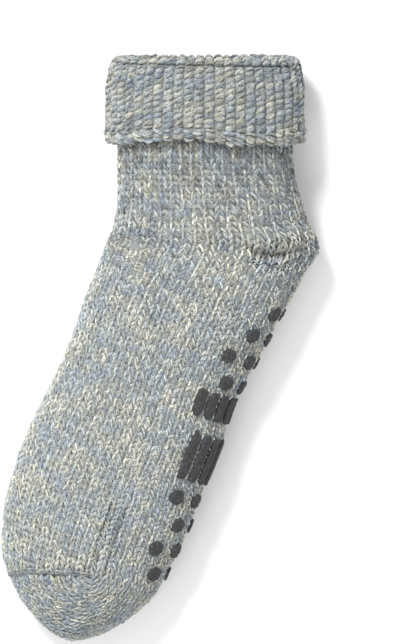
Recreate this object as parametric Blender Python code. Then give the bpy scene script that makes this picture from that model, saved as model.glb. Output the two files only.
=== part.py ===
# A knitted slipper sock with a turned-over ribbed cuff, a short-row heel
# and toe, and rubber grips on the sole, lying on its side.
# +Z is up, +X points to the sole and the heel, +Y to the collar. The origin
# is on the flat underside, below the middle of the ankle's bend. Metres.

import math

import bmesh
import bpy
import numpy as np

# Centre line, from the top of the cuff's fold to the tip of the toe
LEG_LENGTH = 0.0926
ANKLE_TURN = math.radians(24.0)
ANKLE_RADIUS = 0.088
MIDFOOT_LENGTH = 0.063
BALL_TURN = math.radians(-9.0)
BALL_RADIUS = 0.547
TOE_LENGTH = 0.0482

# Widths from instep to sole, and depths from the underside to the top
LEG_WIDTH = 0.0933
HEEL_WIDTH = 0.113
BALL_WIDTH = 0.1017
LEG_DEPTH = 0.042
FOOT_DEPTH = 0.050

# The knit, and how much of its round underside the floor presses flat
WALL = 0.0026
SETTLE = 0.0045
SEAT_GAP = 0.0003

# The turned-over cuff
CUFF_HEIGHT = 0.0465
CUFF_WALL = 0.0045
CUFF_FLARE = 0.0014
CUFF_LIP_WALL = 0.0018
CUFF_LIP_HEIGHT = 0.0090
FOLD_HEIGHT = 0.0030
EDGE_BAND_HEIGHT = 0.0080
EDGE_BAND_RISE = 0.0006
LANDING_RUN = 0.024

# The toe's plan and crown are superellipses with these powers
TOE_POINT = 1.55
TOE_CROWN = 2.6
TOE_DIP = 0.20

# The raised toe seam
SEAM_WIDTH = 0.0032
SEAM_RISE = 0.0011

# Rubber grips on the sole, placed by the way along it from the heel's point.
# The twist turns the heel's end of the print towards the upper side
DOT_DIAMETER = 0.0079
GRIP_RISE = 0.0010
ROW_PITCH = 0.0145
DOT_PITCH = 0.0157
HEEL_GRIPS_AT = 0.0400
HEEL_TO_BARS = 0.0065
SHORT_BAR_LENGTH = 0.0150
BAR_LINE_GAP = 0.0080
LONG_BAR_LENGTH = 0.0260
BARS_TO_BALL = 0.0095
BAR_WIDTH = 0.0054
BAR_PITCH = 0.0074
PRINT_TWIST = 0.0040

# Stretches of the centre line: name, length, turn
STRETCHES = (
    ("leg", LEG_LENGTH, 0.0),
    ("ankle", ANKLE_RADIUS * ANKLE_TURN, ANKLE_TURN),
    ("midfoot", MIDFOOT_LENGTH, 0.0),
    ("ball", BALL_RADIUS * abs(BALL_TURN), BALL_TURN),
    ("toe", TOE_LENGTH, 0.0),
)

# Where the heel's point is, as a share of the ankle's bend
HEEL_POINT = 0.18

# Sections: stretch, share along it, the width that the next two are shares
# of, instep side, sole side, the depth that the next is a share of, depth,
# and the power that rounds the sole's edge
SECTIONS = (
    ("leg", 0.00, LEG_WIDTH, 0.503, 0.497, LEG_DEPTH, 1.00, 2.3),
    ("leg", 0.53, LEG_WIDTH, 0.503, 0.497, LEG_DEPTH, 1.02, 2.3),
    ("leg", 0.68, LEG_WIDTH, 0.503, 0.511, LEG_DEPTH, 1.07, 2.3),
    ("leg", 0.82, LEG_WIDTH, 0.502, 0.545, LEG_DEPTH, 1.12, 2.2),
    ("leg", 0.94, LEG_WIDTH, 0.520, 0.586, LEG_DEPTH, 1.15, 2.0),
    ("ankle", HEEL_POINT, HEEL_WIDTH, 0.452, 0.542, FOOT_DEPTH, 0.98, 1.8),
    ("ankle", 0.40, HEEL_WIDTH, 0.462, 0.484, FOOT_DEPTH, 1.01, 1.9),
    ("ankle", 0.65, HEEL_WIDTH, 0.465, 0.448, FOOT_DEPTH, 1.03, 1.95),
    ("ankle", 0.90, HEEL_WIDTH, 0.466, 0.420, FOOT_DEPTH, 1.03, 2.0),
    ("midfoot", 0.34, BALL_WIDTH, 0.509, 0.450, FOOT_DEPTH, 1.00, 2.0),
    ("midfoot", 0.68, BALL_WIDTH, 0.491, 0.434, FOOT_DEPTH, 0.97, 2.0),
    ("midfoot", 0.86, BALL_WIDTH, 0.487, 0.446, FOOT_DEPTH, 0.97, 2.0),
    ("ball", 0.02, BALL_WIDTH, 0.486, 0.463, FOOT_DEPTH, 0.98, 2.0),
    ("ball", 0.26, BALL_WIDTH, 0.502, 0.466, FOOT_DEPTH, 1.00, 2.0),
    ("ball", 0.53, BALL_WIDTH, 0.515, 0.464, FOOT_DEPTH, 1.00, 2.0),
    ("ball", 0.84, BALL_WIDTH, 0.507, 0.446, FOOT_DEPTH, 0.96, 2.0),
    ("toe", 0.00, BALL_WIDTH, 0.480, 0.418, FOOT_DEPTH, 0.92, 2.0),
    ("toe", 1.00, BALL_WIDTH, 0.480, 0.418, FOOT_DEPTH, 0.88, 2.0),
)
INSTEP_POWER = 2.4

# The seam's way across the toe, from the end of the gore over the instep's
# edge: half turns around from the sole's edge, share of the toe's length
SEAM_PATH = (
    (0.48, 0.13),
    (0.70, 0.27),
    (1.00, 0.44),
    (1.14, 0.42),
)

# The cuff's skirt, inside and outside: share of the cuff's height, share of
# its wall, share of its flare
SKIRT_INSIDE = (
    (0.45, 0.00, 1.0),
    (0.97, 0.00, 1.0),
    (1.00, 0.35, 1.0),
    (0.98, 1.00, 1.0),
)
SKIRT_OUTSIDE = (
    (0.45, 1.00, 1.0),
    (0.18, 1.00, 0.0),
)
FOLD_SHOULDER = 0.7

# Dots in each row, heel first
HEEL_ROWS = (2, 3, 4, 3)
BALL_ROWS = (4, 3, 4, 3)

# Bars in each line
SHORT_BARS = 8
LONG_BARS = 8

# Layers of a dot and a bar from below: share of the half width, of the rise
DOT_LAYERS = ((1.0, 0.0), (1.0, 0.6), (0.72, 1.0))
BAR_LAYERS = ((1.0, 0.0), (0.8, 1.0))
BAR_END = 0.55

# How finely curves are measured, and how finely the solids are cut
WAY_SAMPLES = 200
RING_POINTS = 40
STATION_STEP = 0.0085
TOE_STATIONS = 7
DOT_POINTS = 10
SEAM_STEPS = 16
BAR_STEPS = 5

# Colours: linear RGB, roughness
LOOKS = {
    "marl_knit": ((0.36, 0.37, 0.37), 0.92),
    "marl_rib": ((0.40, 0.41, 0.41), 0.92),
    "grip_rubber": ((0.045, 0.047, 0.052), 0.75),
}


# Centre line

def stretch_starts():
    """Where each stretch starts, as a way along the centre line."""
    starts = {}
    place = 0.0
    for name, length, _turn in STRETCHES:
        starts[name] = place
        place += length
    return starts


STARTS = stretch_starts()
LENGTHS = {name: length for name, length, _turn in STRETCHES}


def walk(place):
    """Point and heading at a place, from the collar; heading 0 is -Y."""
    x, y = 0.0, 0.0
    heading = -ANKLE_TURN / 2
    left = place
    for name, length, turn in STRETCHES:
        last = name == "toe"
        step = left if last else min(left, length)
        bend = turn * step / length
        # A chord of an arc points along its mean heading
        chord = step
        if abs(bend) > 1e-9:
            chord = 2 * (step / bend) * math.sin(bend / 2)
        x -= chord * math.sin(heading + bend / 2)
        y -= chord * math.cos(heading + bend / 2)
        heading += bend
        left -= step
        if left <= 0:
            break
    return x, y, heading


def spine(place):
    """Centre and the direction to the sole, with the ankle at the origin."""
    x, y, heading = walk(place)
    ankle = STARTS["ankle"] + LENGTHS["ankle"] / 2
    ankle_x, ankle_y, _heading = walk(ankle)
    centre = np.array((x - ankle_x, y - ankle_y))
    across = np.array((math.cos(heading), -math.sin(heading)))
    return centre, across


# Sections

def smooth_curve(places, values):
    """A curve through the values that doesn't overshoot them."""
    places = np.array(places)
    values = np.array(values)
    steps = np.diff(places)
    rises = np.diff(values) / steps
    slopes = np.zeros(len(values))
    for i in range(1, len(values) - 1):
        before, after = rises[i - 1], rises[i]
        if before * after > 0:
            slopes[i] = 2 * before * after / (before + after)

    def curve(place):
        i = int(np.clip(np.searchsorted(places, place) - 1, 0, len(steps) - 1))
        share = min(max((place - places[i]) / steps[i], 0.0), 1.0)
        near = (1 + 2 * share) * (1 - share) ** 2
        far = share ** 2 * (3 - 2 * share)
        leave = share * (1 - share) ** 2 * steps[i]
        arrive = share ** 2 * (share - 1) * steps[i]
        return (near * values[i] + far * values[i + 1]
                + leave * slopes[i] + arrive * slopes[i + 1])

    return curve


def section_curves():
    """Instep, sole, depth and edge power along the centre line."""
    places = [STARTS[row[0]] + row[1] * LENGTHS[row[0]] for row in SECTIONS]
    return {
        "instep": smooth_curve(places, [row[2] * row[3] for row in SECTIONS]),
        "sole": smooth_curve(places, [row[2] * row[4] for row in SECTIONS]),
        "depth": smooth_curve(places, [row[5] * row[6] for row in SECTIONS]),
        "edge": smooth_curve(places, [row[7] for row in SECTIONS]),
    }


CURVES = section_curves()


def lift(place):
    """Height of the leg's underside, which the cuff holds off the floor."""
    share = (place - CUFF_HEIGHT) / LANDING_RUN
    share = min(max(share, 0.0), 1.0)
    return (CUFF_WALL + SEAT_GAP) * (1 - share ** 2 * (3 - 2 * share))


def ring(place, angles, outset=0.0):
    """Points of the skin around a place; angle 0 is the sole's edge, a
    quarter turn is the top, and the outset is measured from the skin."""
    angles = np.asarray(angles, dtype=float)
    centre, across = spine(place)
    half = (CURVES["depth"](place) + SETTLE) / 2
    middle = lift(place) + half - SETTLE
    toe_share = (place - STARTS["toe"]) / (TOE_LENGTH + outset)
    toe_share = min(max(toe_share, 0.0), 1.0)
    narrowing = (1 - toe_share ** TOE_POINT) ** (1 / TOE_POINT)
    thinning = (1 - toe_share ** TOE_CROWN) ** (1 / TOE_CROWN)
    middle *= 1 - TOE_DIP * toe_share ** 2
    sole = (CURVES["sole"](place) + outset) * narrowing
    instep = (CURVES["instep"](place) + outset) * narrowing
    high = (half + outset) * thinning
    cos, sin = np.cos(angles), np.sin(angles)
    power = np.where(cos > 0, CURVES["edge"](place), INSTEP_POWER)
    side = np.where(cos > 0, sole, instep)
    u = side * np.sign(cos) * np.abs(cos) ** (2 / power)
    z = middle + high * np.sign(sin) * np.abs(sin) ** (2 / power)
    floor = max(lift(place) - outset, 0.0)
    z = np.maximum(z, floor)
    points = np.empty((len(angles), 3))
    points[:, 0] = centre[0] + across[0] * u
    points[:, 1] = centre[1] + across[1] * u
    points[:, 2] = z
    return points


FINE_HALF = np.linspace(0.0, math.pi, WAY_SAMPLES)


def arc_angles(place, sign=1.0):
    """Way around the skin from the sole's edge, against the angle."""
    points = ring(place, sign * FINE_HALF)
    steps = np.linalg.norm(np.diff(points, axis=0), axis=1)
    return np.concatenate(([0.0], np.cumsum(steps)))


def even_angles(place, count):
    """Angles that cut each half of a ring into even lengths."""
    half = count // 2
    angles = []
    for sign in (1.0, -1.0):
        way = arc_angles(place, sign)
        even = np.interp(np.linspace(0.0, way[-1], half + 1), way, FINE_HALF)
        if sign > 0:
            angles += list(even)
        else:
            angles += list(2 * math.pi - even[-2:0:-1])
    return angles


# Meshes

def make_object(name, points, faces, look):
    """One closed solid with its faces out and its own material."""
    mesh = bpy.data.meshes.new(name)
    work = bmesh.new()
    verts = [work.verts.new(point) for point in points]
    for face in faces:
        work.faces.new([verts[i] for i in face])
    bmesh.ops.recalc_face_normals(work, faces=work.faces)
    work.to_mesh(mesh)
    work.free()
    mesh.shade_smooth()
    mesh.set_sharp_from_angle(angle=math.radians(50))
    piece = bpy.data.objects.new(name, mesh)
    bpy.context.collection.objects.link(piece)
    colour, roughness = LOOKS[look]
    material = bpy.data.materials.new(name + "_" + look)
    material.use_nodes = True
    shader = material.node_tree.nodes["Principled BSDF"]
    shader.inputs["Base Color"].default_value = (*colour, 1.0)
    shader.inputs["Roughness"].default_value = roughness
    shader.inputs["Metallic"].default_value = 0.0
    mesh.materials.append(material)
    return piece


def bridge(first, second, count):
    """Quads between two loops of points that start at these indices."""
    faces = []
    for i in range(count):
        j = (i + 1) % count
        faces.append((first + i, first + j, second + j, second + i))
    return faces


# The knitted sock: leg, heel, foot and toe in one hollow wall

def stations(start):
    """Places from the rim to the toe, with one on each table row."""
    rows = [STARTS[row[0]] + row[1] * LENGTHS[row[0]] for row in SECTIONS[:-1]]
    stops = [start] + [place for place in rows if place > start + 0.001]
    places = [stops[0]]
    for near, far in zip(stops[:-1], stops[1:]):
        parts = max(1, round((far - near) / STATION_STEP))
        places += [near + (far - near) * (i + 1) / parts for i in range(parts)]
    return places


def skin_loops(start, outset):
    """Loops of the skin down to the toe, and the tip."""
    reach = TOE_LENGTH + outset
    places = stations(start)
    for i in range(1, TOE_STATIONS + 1):
        share = math.sin(math.pi / 2 * i / (TOE_STATIONS + 1))
        places.append(STARTS["toe"] + reach * share)
    loops = [ring(place, even_angles(place, RING_POINTS), outset) for place in places]
    tip = ring(STARTS["toe"] + reach, [0.0], outset)
    return loops, tip


def add_skin(points, faces, loops, tip):
    """Adds a skin closed at its tip and gives the index of its first loop."""
    first = len(points)
    for loop in loops:
        points.extend(loop)
    for i in range(len(loops) - 1):
        start = first + i * RING_POINTS
        faces.extend(bridge(start, start + RING_POINTS, RING_POINTS))
    last = first + (len(loops) - 1) * RING_POINTS
    points.extend(tip)
    end = len(points) - 1
    for i in range(RING_POINTS):
        faces.append((last + i, last + (i + 1) % RING_POINTS, end))
    return first


def build_sock():
    rim = FOLD_HEIGHT + SEAT_GAP
    points, faces = [], []
    outer = add_skin(points, faces, *skin_loops(rim, 0.0))
    inner = add_skin(points, faces, *skin_loops(rim, -WALL))
    faces.extend(bridge(outer, inner, RING_POINTS))
    make_object("knit_sock", points, faces, "marl_knit")


# The turned-over cuff, hooked over the leg's rim

def skirt(rows):
    """Pairs on the skirt: way below the fold, outset from the leg."""
    return [(CUFF_HEIGHT * share, SEAT_GAP + CUFF_WALL * wall + CUFF_FLARE * flare)
            for share, wall, flare in rows]


def cuff_profile():
    """The cuff's section as pairs: way below the fold, outset from the leg."""
    inside = -WALL - SEAT_GAP
    lip = inside - CUFF_LIP_WALL
    face = SEAT_GAP + CUFF_WALL + CUFF_FLARE
    hook = [(CUFF_LIP_HEIGHT, inside), (FOLD_HEIGHT, inside), (FOLD_HEIGHT, SEAT_GAP)]
    band = [(CUFF_HEIGHT - EDGE_BAND_HEIGHT / 2, face + EDGE_BAND_RISE),
            (CUFF_HEIGHT - EDGE_BAND_HEIGHT, face)]
    fold = [(FOLD_HEIGHT, SEAT_GAP + CUFF_WALL * FOLD_SHOULDER),
            (0.0, SEAT_GAP - WALL / 2),
            (FOLD_HEIGHT / 2, lip),
            (CUFF_LIP_HEIGHT, lip)]
    return hook + skirt(SKIRT_INSIDE) + band + skirt(SKIRT_OUTSIDE) + fold


def build_cuff():
    points, faces = [], []
    profile = cuff_profile()
    for place, outset in profile:
        points.extend(ring(place, even_angles(place, RING_POINTS), outset))
    for i in range(len(profile)):
        start = i * RING_POINTS
        following = (i + 1) % len(profile) * RING_POINTS
        faces.extend(bridge(start, following, RING_POINTS))
    make_object("turned_cuff", points, faces, "marl_rib")


# The raised seam across the toe

def build_toe_seam():
    around = smooth_curve(range(len(SEAM_PATH)), [row[0] for row in SEAM_PATH])
    along = smooth_curve(range(len(SEAM_PATH)), [row[1] for row in SEAM_PATH])
    top = SEAT_GAP + SEAM_RISE
    # Across the strip: share of half its width, outset
    strip = ((-1.0, SEAT_GAP), (-0.6, top), (0.6, top), (1.0, SEAT_GAP), (0.0, SEAT_GAP))
    points, faces = [], []
    for i in range(SEAM_STEPS + 1):
        row = (len(SEAM_PATH) - 1) * i / SEAM_STEPS
        for side, outset in strip:
            place = STARTS["toe"] + along(row) * TOE_LENGTH + side * SEAM_WIDTH / 2
            points.extend(ring(place, [math.pi * around(row)], outset))
    count = len(strip)
    for i in range(SEAM_STEPS):
        faces.extend(bridge(i * count, (i + 1) * count, count))
    faces.append(tuple(range(count)))
    faces.append(tuple(range(SEAM_STEPS * count, (SEAM_STEPS + 1) * count)))
    make_object("toe_seam", points, faces, "marl_knit")


# The grips

def sole_way():
    """The way along the sole's edge from the heel's point, and its places."""
    heel = STARTS["ankle"] + HEEL_POINT * LENGTHS["ankle"]
    places = np.linspace(heel, STARTS["toe"] + TOE_LENGTH / 2, WAY_SAMPLES)
    edge = np.array([ring(place, [0.0])[0] for place in places])
    steps = np.linalg.norm(np.diff(edge, axis=0), axis=1)
    return np.concatenate(([0.0], np.cumsum(steps))), places


SOLE_WAY, SOLE_PLACES = sole_way()


def sole_point(way, arc, outset):
    """A point by its way along the sole and its way around from the edge."""
    place = float(np.interp(way, SOLE_WAY, SOLE_PLACES))
    sign = 1.0 if arc >= 0 else -1.0
    angle = float(np.interp(abs(arc), arc_angles(place, sign), FINE_HALF))
    return ring(place, [sign * angle], outset)[0]


def build_dot(name, way, arc):
    radius = DOT_DIAMETER / 2
    points, faces = [sole_point(way, arc, SEAT_GAP)], []
    for share, rise in DOT_LAYERS:
        for i in range(DOT_POINTS):
            turn = 2 * math.pi * i / DOT_POINTS
            along = way + radius * share * math.cos(turn)
            around = arc + radius * share * math.sin(turn)
            points.append(sole_point(along, around, SEAT_GAP + GRIP_RISE * rise))
    points.append(sole_point(way, arc, SEAT_GAP + GRIP_RISE))
    top = len(points) - 1
    for i in range(len(DOT_LAYERS) - 1):
        start = 1 + i * DOT_POINTS
        faces.extend(bridge(start, start + DOT_POINTS, DOT_POINTS))
    last = 1 + (len(DOT_LAYERS) - 1) * DOT_POINTS
    for i in range(DOT_POINTS):
        j = (i + 1) % DOT_POINTS
        faces.append((0, 1 + i, 1 + j))
        faces.append((top, last + i, last + j))
    make_object(name, points, faces, "grip_rubber")


def build_dots(patch, start, rows, twist):
    for row, count in enumerate(rows):
        for i in range(count):
            arc = twist + (i - (count - 1) / 2) * DOT_PITCH
            build_dot(f"{patch}_dot_{row + 1}_{i + 1}", start + row * ROW_PITCH, arc)


def build_bar(name, way, length, arc):
    """A straight bar along the sole, narrower at its rounded ends."""
    points, faces = [], []
    for share, rise in BAR_LAYERS:
        for i in range(BAR_STEPS + 1):
            along = way + length * i / BAR_STEPS
            end = i in (0, BAR_STEPS)
            half = BAR_WIDTH / 2 * share * (BAR_END if end else 1.0)
            outset = SEAT_GAP + GRIP_RISE * rise
            for side in (-1, 0, 1):
                points.append(sole_point(along, arc + side * half, outset))
    layer = 3 * (BAR_STEPS + 1)
    for i in range(BAR_STEPS):
        for side in (0, 1):
            corner = 3 * i + side
            faces.append((corner, corner + 1, corner + 4, corner + 3))
            upper = corner + layer
            faces.append((upper, upper + 1, upper + 4, upper + 3))
    rim = [3 * i for i in range(BAR_STEPS + 1)]
    rim += [3 * BAR_STEPS + 1]
    rim += [3 * i + 2 for i in range(BAR_STEPS, -1, -1)]
    rim += [1]
    for near, far in zip(rim, rim[1:] + rim[:1]):
        faces.append((near, far, far + layer, near + layer))
    make_object(name, points, faces, "grip_rubber")


def build_bars(line, way, length, count, twist):
    for i in range(count):
        arc = twist + (i - (count - 1) / 2) * BAR_PITCH
        build_bar(f"{line}_bar_{i + 1}", way, length, arc)


def build_grips():
    short_bars_at = HEEL_GRIPS_AT + (len(HEEL_ROWS) - 1) * ROW_PITCH + HEEL_TO_BARS
    long_bars_at = short_bars_at + SHORT_BAR_LENGTH + BAR_LINE_GAP
    ball_grips_at = long_bars_at + LONG_BAR_LENGTH + BARS_TO_BALL
    build_dots("heel", HEEL_GRIPS_AT, HEEL_ROWS, PRINT_TWIST)
    build_bars("short", short_bars_at, SHORT_BAR_LENGTH, SHORT_BARS, PRINT_TWIST)
    build_bars("long", long_bars_at, LONG_BAR_LENGTH, LONG_BARS, 0.0)
    build_dots("ball", ball_grips_at, BALL_ROWS, 0.0)


def main():
    for old in list(bpy.data.objects):
        bpy.data.objects.remove(old, do_unlink=True)
    build_sock()
    build_cuff()
    build_toe_seam()
    build_grips()


main()
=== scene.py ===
import math

import bpy
import numpy as np
from mathutils import Matrix, Vector


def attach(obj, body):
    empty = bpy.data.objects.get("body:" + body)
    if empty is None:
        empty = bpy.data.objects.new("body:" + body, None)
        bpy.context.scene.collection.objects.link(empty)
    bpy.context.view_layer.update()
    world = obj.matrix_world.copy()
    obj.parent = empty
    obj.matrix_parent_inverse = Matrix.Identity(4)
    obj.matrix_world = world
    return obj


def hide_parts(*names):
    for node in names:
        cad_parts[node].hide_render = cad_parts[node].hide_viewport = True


# A chunky marl knit slipper sock with a turned-over ribbed cuff and rubber
# grips, lying on its side. Every stitch is a piece of yarn that lies in a
# cell of the knit, and the cells follow the sock's own sections.

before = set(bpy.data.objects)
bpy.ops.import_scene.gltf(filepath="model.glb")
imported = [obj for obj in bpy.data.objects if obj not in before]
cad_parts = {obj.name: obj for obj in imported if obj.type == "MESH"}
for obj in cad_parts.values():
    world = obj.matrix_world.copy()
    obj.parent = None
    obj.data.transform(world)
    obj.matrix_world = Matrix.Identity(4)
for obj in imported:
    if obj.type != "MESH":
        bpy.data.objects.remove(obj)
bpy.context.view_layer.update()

# Centre line, from the top of the cuff's fold to the tip of the toe
LEG_LENGTH = 0.0926
ANKLE_TURN = math.radians(24.0)
ANKLE_RADIUS = 0.088
MIDFOOT_LENGTH = 0.063
BALL_TURN = math.radians(-9.0)
BALL_RADIUS = 0.547
TOE_LENGTH = 0.0482

# Widths from instep to sole, and depths from the underside to the top
LEG_WIDTH = 0.0933
HEEL_WIDTH = 0.113
BALL_WIDTH = 0.1017
LEG_DEPTH = 0.042
FOOT_DEPTH = 0.050

# The knit, and how much of its round underside the floor presses flat
WALL = 0.0026
SETTLE = 0.0045
SEAT_GAP = 0.0003

# The turned-over cuff
CUFF_HEIGHT = 0.0465
CUFF_WALL = 0.0045
CUFF_FLARE = 0.0014
CUFF_LIP_WALL = 0.0018
CUFF_LIP_HEIGHT = 0.0090
FOLD_HEIGHT = 0.0030
EDGE_BAND_HEIGHT = 0.0080
EDGE_BAND_RISE = 0.0006
LANDING_RUN = 0.024

# The toe's plan and crown are superellipses with these powers
TOE_POINT = 1.55
TOE_CROWN = 2.6
TOE_DIP = 0.20

# Rubber grips on the sole, placed by the way along it from the heel's point.
# The twist turns the heel's end of the print towards the upper side
DOT_DIAMETER = 0.0079
GRIP_RISE = 0.0010
ROW_PITCH = 0.0145
DOT_PITCH = 0.0157
HEEL_GRIPS_AT = 0.0400
HEEL_TO_BARS = 0.0065
SHORT_BAR_LENGTH = 0.0150
BAR_LINE_GAP = 0.0080
LONG_BAR_LENGTH = 0.0260
BARS_TO_BALL = 0.0095
BAR_WIDTH = 0.0054
BAR_PITCH = 0.0074
PRINT_TWIST = 0.0040

HEEL_ROWS = (2, 3, 4, 3)
BALL_ROWS = (4, 3, 4, 3)
SHORT_BARS = 8
LONG_BARS = 8

# Where the heel's point is, as a share of the ankle's bend
HEEL_POINT = 0.18

# Sections: stretch, share along it, the width that the next two are shares
# of, instep side, sole side, the depth that the next is a share of, depth,
# and the power that rounds the sole's edge
SECTIONS = (
    ("leg", 0.00, LEG_WIDTH, 0.503, 0.497, LEG_DEPTH, 1.00, 2.3),
    ("leg", 0.53, LEG_WIDTH, 0.503, 0.497, LEG_DEPTH, 1.02, 2.3),
    ("leg", 0.68, LEG_WIDTH, 0.503, 0.511, LEG_DEPTH, 1.07, 2.3),
    ("leg", 0.82, LEG_WIDTH, 0.502, 0.545, LEG_DEPTH, 1.12, 2.2),
    ("leg", 0.94, LEG_WIDTH, 0.520, 0.586, LEG_DEPTH, 1.15, 2.0),
    ("ankle", HEEL_POINT, HEEL_WIDTH, 0.452, 0.542, FOOT_DEPTH, 0.98, 1.8),
    ("ankle", 0.40, HEEL_WIDTH, 0.462, 0.484, FOOT_DEPTH, 1.01, 1.9),
    ("ankle", 0.65, HEEL_WIDTH, 0.465, 0.448, FOOT_DEPTH, 1.03, 1.95),
    ("ankle", 0.90, HEEL_WIDTH, 0.466, 0.420, FOOT_DEPTH, 1.03, 2.0),
    ("midfoot", 0.34, BALL_WIDTH, 0.509, 0.450, FOOT_DEPTH, 1.00, 2.0),
    ("midfoot", 0.68, BALL_WIDTH, 0.491, 0.434, FOOT_DEPTH, 0.97, 2.0),
    ("midfoot", 0.86, BALL_WIDTH, 0.487, 0.446, FOOT_DEPTH, 0.97, 2.0),
    ("ball", 0.02, BALL_WIDTH, 0.486, 0.463, FOOT_DEPTH, 0.98, 2.0),
    ("ball", 0.26, BALL_WIDTH, 0.502, 0.466, FOOT_DEPTH, 1.00, 2.0),
    ("ball", 0.53, BALL_WIDTH, 0.515, 0.464, FOOT_DEPTH, 1.00, 2.0),
    ("ball", 0.84, BALL_WIDTH, 0.507, 0.446, FOOT_DEPTH, 0.96, 2.0),
    ("toe", 0.00, BALL_WIDTH, 0.480, 0.418, FOOT_DEPTH, 0.92, 2.0),
    ("toe", 1.00, BALL_WIDTH, 0.480, 0.418, FOOT_DEPTH, 0.88, 2.0),
)
INSTEP_POWER = 2.4

# The gauge of the knit: wales around the sock and the height of a course
WALES = 42
COURSE = 0.0030

# Creases and puffs of the upper side: place along the centre line and way
# across it, from and to, then half width and depth. A puff's depth is less
# than nothing. The first eight are the heel's, then come the near rim's line
# on the cuff, the fold before the toe and the line along the toe's seam
CREASES = (
    (0.0966, 0.0037, 0.0966, 0.0100, 0.0012, 0.0008),
    (0.0966, 0.0100, 0.1002, 0.0220, 0.0013, 0.0010),
    (0.1002, 0.0269, 0.1009, 0.0350, 0.0016, 0.0034),
    (0.1009, 0.0350, 0.1002, 0.0430, 0.0016, 0.0036),
    (0.1002, 0.0430, 0.0980, 0.0521, 0.0014, 0.0022),
    (0.1038, 0.0437, 0.1010, 0.0527, 0.0012, 0.0009),
    (0.0958, 0.0290, 0.0948, 0.0460, 0.0040, -0.0028),
    (0.1068, 0.0300, 0.1063, 0.0440, 0.0045, -0.0007),
    (0.0034, -0.0440, 0.0049, 0.0440, 0.0007, 0.0016),
    (0.2450, 0.0030, 0.2814, 0.0034, 0.0010, 0.0013),
    (0.2450, 0.0102, 0.2814, 0.0106, 0.0010, 0.0011),
    (0.2450, 0.0066, 0.2814, 0.0070, 0.0020, -0.0009),
    (0.2996, -0.0381, 0.2930, -0.0279, 0.0009, 0.0012),
    (0.2930, -0.0279, 0.2886, -0.0118, 0.0009, 0.0013),
    (0.2886, -0.0118, 0.2814, 0.0010, 0.0009, 0.0010),
)
# The ground gives way wider and deeper than the yarn, and yarn pressed into a
# crease is darkened with painted shade, by this share for each metre that it is pressed in
CREASE_SPREAD = 2.2
CREASE_GIVE = 1.35
CREASE_PAINTED_SHADE = 130.0

RANDOM = np.random.default_rng(11)


# Centre line and sections

STRETCHES = (
    ("leg", LEG_LENGTH, 0.0),
    ("ankle", ANKLE_RADIUS * ANKLE_TURN, ANKLE_TURN),
    ("midfoot", MIDFOOT_LENGTH, 0.0),
    ("ball", BALL_RADIUS * abs(BALL_TURN), BALL_TURN),
    ("toe", TOE_LENGTH, 0.0),
)
LENGTHS = {name: length for name, length, _turn in STRETCHES}
ENDS = np.cumsum([0.0] + [length for _name, length, _turn in STRETCHES])
STARTS = {row[0]: float(ENDS[i]) for i, row in enumerate(STRETCHES)}
HEADINGS = np.cumsum([-ANKLE_TURN / 2] + [turn for _name, _length, turn in STRETCHES])
TOE = STARTS["toe"]
SPINE_STEP = 0.0001
SPINE_SPARE = 0.02


def spine_table():
    """Points of the centre line, at even steps and on past the toe's tip."""
    places = np.arange(0.0, ENDS[-1] + SPINE_SPARE, SPINE_STEP)
    headings = np.interp(places + SPINE_STEP / 2, ENDS, HEADINGS)
    x = np.concatenate(([0.0], np.cumsum(-np.sin(headings) * SPINE_STEP)[:-1]))
    y = np.concatenate(([0.0], np.cumsum(-np.cos(headings) * SPINE_STEP)[:-1]))
    ankle = STARTS["ankle"] + LENGTHS["ankle"] / 2
    x -= np.interp(ankle, places, x)
    y -= np.interp(ankle, places, y)
    return places, x, y


SPINE = spine_table()


def on_plan(place, across, z):
    """Points by place along the centre line, way across it, and height."""
    heading = np.interp(place, ENDS, HEADINGS)
    x = np.interp(place, SPINE[0], SPINE[1]) + np.cos(heading) * across
    y = np.interp(place, SPINE[0], SPINE[2]) - np.sin(heading) * across
    return np.stack((x, y, z), axis=-1)


def power_of(value, power):
    """A power that keeps the value's sign."""
    return np.sign(value) * np.abs(value) ** power


def oval(share, power):
    """How much of a superellipse's width is left at a share of its length."""
    return (1 - share ** power) ** (1 / power)


def smooth_curve(places, values):
    """A curve through the values that doesn't overshoot them."""
    places = np.array(places, dtype=float)
    values = np.array(values, dtype=float)
    steps = np.diff(places)
    rises = np.diff(values) / steps
    slopes = np.zeros(len(values))
    for i in range(1, len(values) - 1):
        before, after = rises[i - 1], rises[i]
        if before * after > 0:
            slopes[i] = 2 * before * after / (before + after)

    def curve(place):
        place = np.asarray(place, dtype=float)
        i = np.clip(np.searchsorted(places, place) - 1, 0, len(steps) - 1)
        share = np.clip((place - places[i]) / steps[i], 0.0, 1.0)
        near = (1 + 2 * share) * (1 - share) ** 2
        far = share ** 2 * (3 - 2 * share)
        leave = share * (1 - share) ** 2 * steps[i]
        arrive = share ** 2 * (share - 1) * steps[i]
        return (near * values[i] + far * values[i + 1]
                + leave * slopes[i] + arrive * slopes[i + 1])

    return curve


def ways_along(points):
    """The way to each point of a line, or of each of several lines."""
    steps = np.linalg.norm(np.diff(points, axis=-2), axis=-1)
    return np.concatenate((np.zeros_like(steps[..., :1]), np.cumsum(steps, axis=-1)), axis=-1)


def read_grid(grid, row, column):
    """Reads a grid of numbers or points between its entries."""
    i = np.clip(row.astype(int), 0, grid.shape[0] - 2)
    j = np.clip(column.astype(int), 0, grid.shape[1] - 2)
    p, q = row - i, column - j
    if grid.ndim > 2:
        p, q = p[..., None], q[..., None]
    return ((1 - p) * (1 - q) * grid[i, j] + p * (1 - q) * grid[i + 1, j]
            + (1 - p) * q * grid[i, j + 1] + p * q * grid[i + 1, j + 1])


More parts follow.
